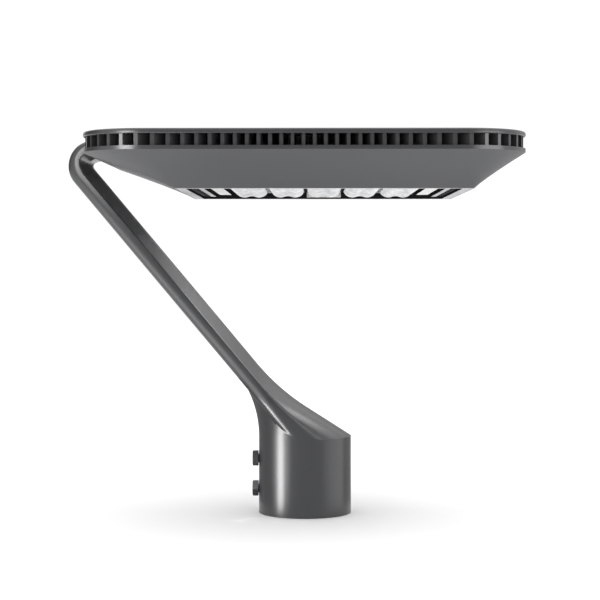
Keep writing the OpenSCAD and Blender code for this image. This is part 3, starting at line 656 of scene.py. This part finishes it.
# %% Every station from the collar's foot to the head
heel_n, strap_n, bend_n = 64, 3, 40
thinning_starts, thinning_takes = 0.3, 0.6
collar_ring = heel_half(0)
rings = [mirror([(y, x, 0.0) for y, x, z in collar_ring]), mirror(collar_ring)]
rings += [mirror(heel_half(i / heel_n)) for i in range(1, heel_n + 1)]
for i in range(1, strap_n + 1):
    s = i / strap_n
    rings.append(ring(mix(back_start, back_end, s), mix(crown_top, crown_end, s), strap))
for i in range(1, bend_n + 1):
    s = i / bend_n
    k = ease((s - thinning_starts) / thinning_takes)
    outline = [mix(p, q, k) for p, q in zip(strap, arm_end)]
    rings.append(ring(bend_back(s), bend_crown(s), outline))
print(len(rings), "rings of", len(rings[0]), "points")


# %% A skin over the rings
def loft(name, rings):
    """A closed skin through rings with equal point counts."""
    n, m = len(rings[0]), len(rings)
    faces = [(j * n + i, (j + 1) * n + i, (j + 1) * n + (i + 1) % n, j * n + (i + 1) % n)
             for j in range(m - 1) for i in range(n)]
    faces += [tuple(range(n)), tuple(range(m * n - 1, (m - 1) * n - 1, -1))]
    mesh = bpy.data.meshes.new(name)
    mesh.from_pydata([p for r in rings for p in r], [], faces)
    mesh.materials.append(graphite)
    return place_in_scene(name, mesh)


# %% [markdown]
# The casting is then machined like the real one: a bore for the pole's tenon, a hole for
# the wires above it, and two threaded holes for the clamp bolts. Each drill is a cylinder,
# and a Boolean modifier takes its shape out of the skin. The holes could be part of the
# rings, but then every ring near them would need points of its own.


# %% Bore and bolt holes
def drill(start, direction, length, radius, sides=96):
    """A cylinder that stands for a drill, from a start point in millimetres."""
    form = bmesh.new()
    bmesh.ops.create_cone(form, cap_ends=True, segments=sides, radius1=radius * mm,
                          radius2=radius * mm, depth=length * mm)
    mesh = bpy.data.meshes.new("drill")
    form.to_mesh(mesh)
    form.free()
    tool = place_in_scene("drill", mesh)
    heading = Vector(direction).normalized()
    tool.rotation_euler = heading.to_track_quat("Z", "Y").to_euler()
    tool.location = Vector(start) * mm + heading * length / 2 * mm
    return tool


def cut(obj, tools):
    """Cuts the drills out of a solid and keeps the result as its mesh."""
    for tool in tools:
        modifier = obj.modifiers.new("cut", "BOOLEAN")
        modifier.object = tool
        modifier.solver = "EXACT"
    bpy.context.view_layer.update()
    cut_shape = obj.evaluated_get(bpy.context.evaluated_depsgraph_get())
    shape = bpy.data.meshes.new_from_object(cut_shape)
    obj.modifiers.clear()
    obj.data = shape
    for tool in tools:
        bpy.data.objects.remove(tool)


up, inwards = (0, 0, 1), (1, 0, 0)
wire_hole_length = 16
bolt_heights, bolt_hole_r, bolt_hole_length = (26, 59), 5.05, 14
arm = loft("arm_skin", rings)
cut(arm, [
    drill((0, 0, -1), up, bore_depth + 1, bore_r),
    drill((0, 0, bore_depth - 1), up, wire_hole_length, wire_hole_r, 48),
    *[drill((-collar_r - 1, 0, height), inwards, bolt_hole_length, bolt_hole_r, 48)
      for height in bolt_heights],
])
smooth_by_angle(arm)
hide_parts("arm_casting")
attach(arm, "light")
print("the arm's skin has", len(arm.data.polygons), "faces")

# %% [markdown]
# ## The lenses
#
# Each LED pair shines through one twin lens: two round lobes that run into each other.
# A height field gives that shape directly. Every point of a fine grid under the plate
# asks how deep each lobe reaches there, and a soft maximum joins the lobes. Metaballs melt
# into each other too, but the sizes they end up with are hard to set. The field takes the
# place of CAD's plain balls, on the same plate.

# %% Depth of one twin lens
plate_thickness = 1.6 * mm
lobe_radius = 10.2 * mm
lobe_apart = 18.8 * mm
bridge_radius = 6.2 * mm
bridge_half_length = lobe_apart / 3
joint_sharpness = 5


def ball_depth(x, y, radius, sink):
    """How far a ball, sunk into the plate, reaches below it at one point."""
    inside = radius * radius - x * x - y * y
    return max(math.sqrt(inside) - sink, 0.0) if inside > 0 else 0.0


def twin_depth(x, y, sink):
    """Depth of two lobes and the shallower bridge between them, joined softly."""
    left = ball_depth(x + lobe_apart / 2, y, lobe_radius, sink)
    right = ball_depth(x - lobe_apart / 2, y, lobe_radius, sink)
    past_the_bridge = max(abs(x) - bridge_half_length, 0)
    bridge = ball_depth(past_the_bridge, y, bridge_radius, sink / 4)
    return sum(d ** joint_sharpness for d in (left, right, bridge)) ** (1 / joint_sharpness)


print("the two balls of a lens span", round((lobe_apart + 2 * lobe_radius) / mm, 1), "mm")

# %% [markdown]
# A plate is that grid with a flat top and four sides. The lobes are smooth and clear. The
# flat between them is painted black with no shine, as painted shade that gives each row
# its dark notches.

# %% A plate of twin lenses
lens_columns, lens_rows = 5, 4
steps_x, steps_y = 42, 30
flat_margin = 0.3 * mm


def lens_plate(name, node):
    """Builds the plate with its lenses over the CAD node and stands in for it."""
    low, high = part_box(node)
    top = high.z
    base = top - plate_thickness
    sink = lobe_radius - (base - low.z)
    pitch_x, pitch_y = (high.x - low.x) / lens_columns, (high.y - low.y) / lens_rows
    columns, rows = steps_x * lens_columns, steps_y * lens_rows
    points, faces = [], []
    for j in range(rows + 1):
        for i in range(columns + 1):
            x, y = i / steps_x * pitch_x, j / steps_y * pitch_y
            u, v = x % pitch_x - pitch_x / 2, y % pitch_y - pitch_y / 2
            points.append((low.x + x, low.y + y, base - twin_depth(u, v, sink)))
    row = columns + 1
    for j in range(rows):
        for i in range(columns):
            k = j * row + i
            faces.append((k, k + row, k + row + 1, k + 1))
    corner, last = len(points), rows * row
    points += [(x, y, top) for x, y in ((low.x, low.y), (high.x, low.y),
                                        (high.x, high.y), (low.x, high.y))]
    faces.append((corner, corner + 1, corner + 2, corner + 3))
    faces.append(tuple(range(columns, -1, -1)) + (corner, corner + 1))
    faces.append(tuple(range(last, last + columns + 1)) + (corner + 2, corner + 3))
    faces.append(tuple(range(0, last + 1, row)) + (corner + 3, corner))
    faces.append(tuple(range(last + columns, columns - 1, -row)) + (corner + 1, corner + 2))
    mesh = bpy.data.meshes.new(name)
    mesh.from_pydata(points, [], faces)
    mesh.materials.append(acrylic)
    mesh.materials.append(painted_shade_black)
    for polygon in mesh.polygons:
        polygon.use_smooth = polygon.index < columns * rows
        # The flat between the lobes, the top and the sides get black paint: painted shade.
        on_the_flat = min(points[k][2] for k in polygon.vertices) > base - flat_margin
        polygon.material_index = 1 if on_the_flat or not polygon.use_smooth else 0
    plate = place_in_scene(name, mesh)
    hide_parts(node)
    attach(plate, "light")
    print(name, "has", len(faces), "faces")


lens_plate("front_twin_lenses", "front_lenses")
lens_plate("rear_twin_lenses", "rear_lenses")

# %% [markdown]
# ## The picture's view
#
# The picture was taken from 1.8 m with a long lens, a little below the head, so its front
# edge runs level and its window shows as a thin band. The camera looks down by nearly a
# degree and a half and to the left by half a degree, as the photograph's lines say. A
# focal length measured in pixels becomes one in millimetres by the sensor's width.

# %% Camera
photo_w, focal_px = 600, 1643
camera_place = (12 * mm, -1800 * mm, 276.3 * mm)
look_down, look_left = 1.395, 0.558
camera_data = bpy.data.cameras.new("photo_camera")
camera_data.sensor_width = 36
camera_data.lens = focal_px * camera_data.sensor_width / photo_w
camera = place_in_scene("photo_camera", camera_data)
camera.location = camera_place
camera.rotation_euler = (math.radians(90 - look_down), 0, math.radians(look_left))
bpy.context.scene.camera = camera
print("the camera's lens:", round(camera_data.lens, 1), "mm")

# %% [markdown]
# ## The studio
#
# The light stands on a pale floor in a white room, lit softly from above. The coat is
# satin, so most of what the eye reads of its shape is what it mirrors. Everything below
# that shapes these reflections is left out of the diffuse light and hidden from the
# camera, as a photographer keeps such things out of the frame. A panorama of a studio
# could light it as well, but here each shape can be moved on its own.


# %% Floor and surroundings
def stage_sheet(name, size, place, turn, tone):
    """A flat sheet of the studio, which is not part of the object."""
    w, h = size[0] / 2, size[1] / 2
    mesh = bpy.data.meshes.new(name)
    mesh.from_pydata([(-w, -h, 0), (w, -h, 0), (w, h, 0), (-w, h, 0)], [], [(0, 1, 2, 3)])
    sheet = place_in_scene(name, mesh)
    sheet.location = place
    sheet.rotation_euler = turn
    material, _, shader = new_finish(name + " paint")
    shader.inputs["Base Color"].default_value = linear(tone)
    shader.inputs["Roughness"].default_value = 0.9
    shader.inputs["Specular IOR Level"].default_value = 0.1
    mesh.materials.append(material)
    return sheet


floor_size, under_the_collar = (14, 14), (0, 0, -0.5 * mm)
stage_sheet("pale_floor", floor_size, under_the_collar, (0, 0, 0), "#fafafa")

room_glow = 1.06
world = bpy.data.worlds.new("White studio")
bpy.context.scene.world = world
world.use_nodes = True
room = world.node_tree.nodes["Background"]
room.inputs["Color"].default_value = (1, 1, 1, 1)
room.inputs["Strength"].default_value = room_glow
world.cycles.sampling_method = "NONE"
bpy.context.scene.view_settings.view_transform = "Standard"
print("the room glows with strength", room_glow)

# %% [markdown]
# Three tools shape the shine. A large dark card takes the white room out of the flat
# faces. A soft box lays a highlight on an edge. And since the camera looks slightly down
# on the collar's upright wall, the wall mirrors what is close to it, so a curved panel of
# an even glow round the collar sets the tone of one of its bands. Each is placed round
# the pole by its bearing: 0 is the camera's side, and 90 is to its right.


# %% Cards, soft boxes and panels
def on_bearing(bearing, distance, height):
    """A place round the pole, in metres from its middle line and over the floor."""
    a = math.radians(bearing)
    return Vector((distance * math.sin(a), -distance * math.cos(a), height))


def facing(bearing):
    """The turn of an upright card or lamp that faces the pole from a bearing."""
    return (math.radians(90), 0, math.radians(bearing))


def only_in_the_shine(thing):
    """Hides a thing from the camera and keeps it out of the diffuse light."""
    thing.visible_camera = False
    thing.visible_diffuse = False


def card(name, bearing, width, height, tone="#050505", distance=2.6, middle=0.9):
    """A card that only shows in the coat's shine, and takes no light from the rest."""
    place = on_bearing(bearing, distance, middle)
    only_in_the_shine(stage_sheet(name, (width, height), place, facing(bearing), tone))


def shine_light(name, place, turn, size, power):
    """A soft box that only shows in the coat's shine."""
    data = bpy.data.lights.new(name, "AREA")
    data.shape = "RECTANGLE"
    data.size, data.size_y = size
    data.energy = power
    lamp = place_in_scene(name, data)
    lamp.location = place
    lamp.rotation_euler = turn
    only_in_the_shine(lamp)


def collar_panel(name, low, high, glow):
    """A curved panel round the collar, between two bearings, that only shows in its shine."""
    radius, low_edge, high_edge, steps = 0.1, 1 * mm, 0.125, 12
    bearings = [low + (high - low) * i / steps for i in range(steps + 1)]
    points = [on_bearing(b, radius, z) for b in bearings for z in (low_edge, high_edge)]
    faces = [(2 * i, 2 * i + 1, 2 * i + 3, 2 * i + 2) for i in range(steps)]
    mesh = bpy.data.meshes.new(name)
    mesh.from_pydata(points, [], faces)
    sheet = place_in_scene(name, mesh)
    material, _, shader = new_finish(name + " paint")
    shader.inputs["Base Color"].default_value = (0, 0, 0, 1)
    shader.inputs["Specular IOR Level"].default_value = 0.0
    shader.inputs["Emission Color"].default_value = (1, 1, 1, 1)
    shader.inputs["Emission Strength"].default_value = glow
    mesh.materials.append(material)
    only_in_the_shine(sheet)
    sheet.visible_shadow = False


# %% [markdown]
# Two dark cards, in front and at the left, hold the white room back, and a grey one
# behind does the same for the arm's back. A glow near the floor lays the light band along
# the strap's side, two strips draw the highlights on the head's rounded corners, and a
# box under the head lights the window's rails. Round the collar four panels give its
# bands, with a narrow bright strip for the white line down its left half.

# %% Where each of them stands
face_up, face_down = (math.radians(180), 0, 0), (0, 0, 0)
card("front_card", bearing=4, width=2.9, height=3.0)
card("left_card", bearing=-112, width=2.4, height=3.0)
card("back_card", bearing=160, width=2.2, height=1.05, tone="#9a9a9a", middle=0.52)
shine_light("floor_glow", place=(-0.45, -0.36, 2 * mm), turn=face_up, size=(0.6, 0.5), power=2.4)
shine_light("left_corner_strip", place=(-0.335, -0.462, 0.418), turn=facing(-29),
            size=(0.15, 0.06), power=0.75)
shine_light("right_corner_strip", place=(0.40, -0.42, 0.412), turn=facing(45),
            size=(0.3, 0.05), power=0.4)
shine_light("window_glow", place=(0.1, 0.05, 0.345), turn=face_down, size=(0.22, 0.22), power=0.95)
collar_panel("collar_left_panel", low=-140, high=-64, glow=0.3)
collar_panel("collar_front_panel", low=-30, high=36, glow=0.6)
collar_panel("collar_right_panel", low=46, high=82, glow=1.7)
collar_panel("collar_back_panel", low=86, high=130, glow=0.45)
strip_bearing = -47.5
strip_place = on_bearing(strip_bearing, distance=0.1, height=0.0485)
shine_light("collar_strip", strip_place, facing(strip_bearing), size=(0.022, 0.095), power=0.13)

overhead = bpy.data.lights.new("overhead", "AREA")
overhead.size = 5.0
overhead.energy = 90
overhead_lamp = place_in_scene("overhead", overhead)
overhead_lamp.location = (0, 0.5, 3.5)
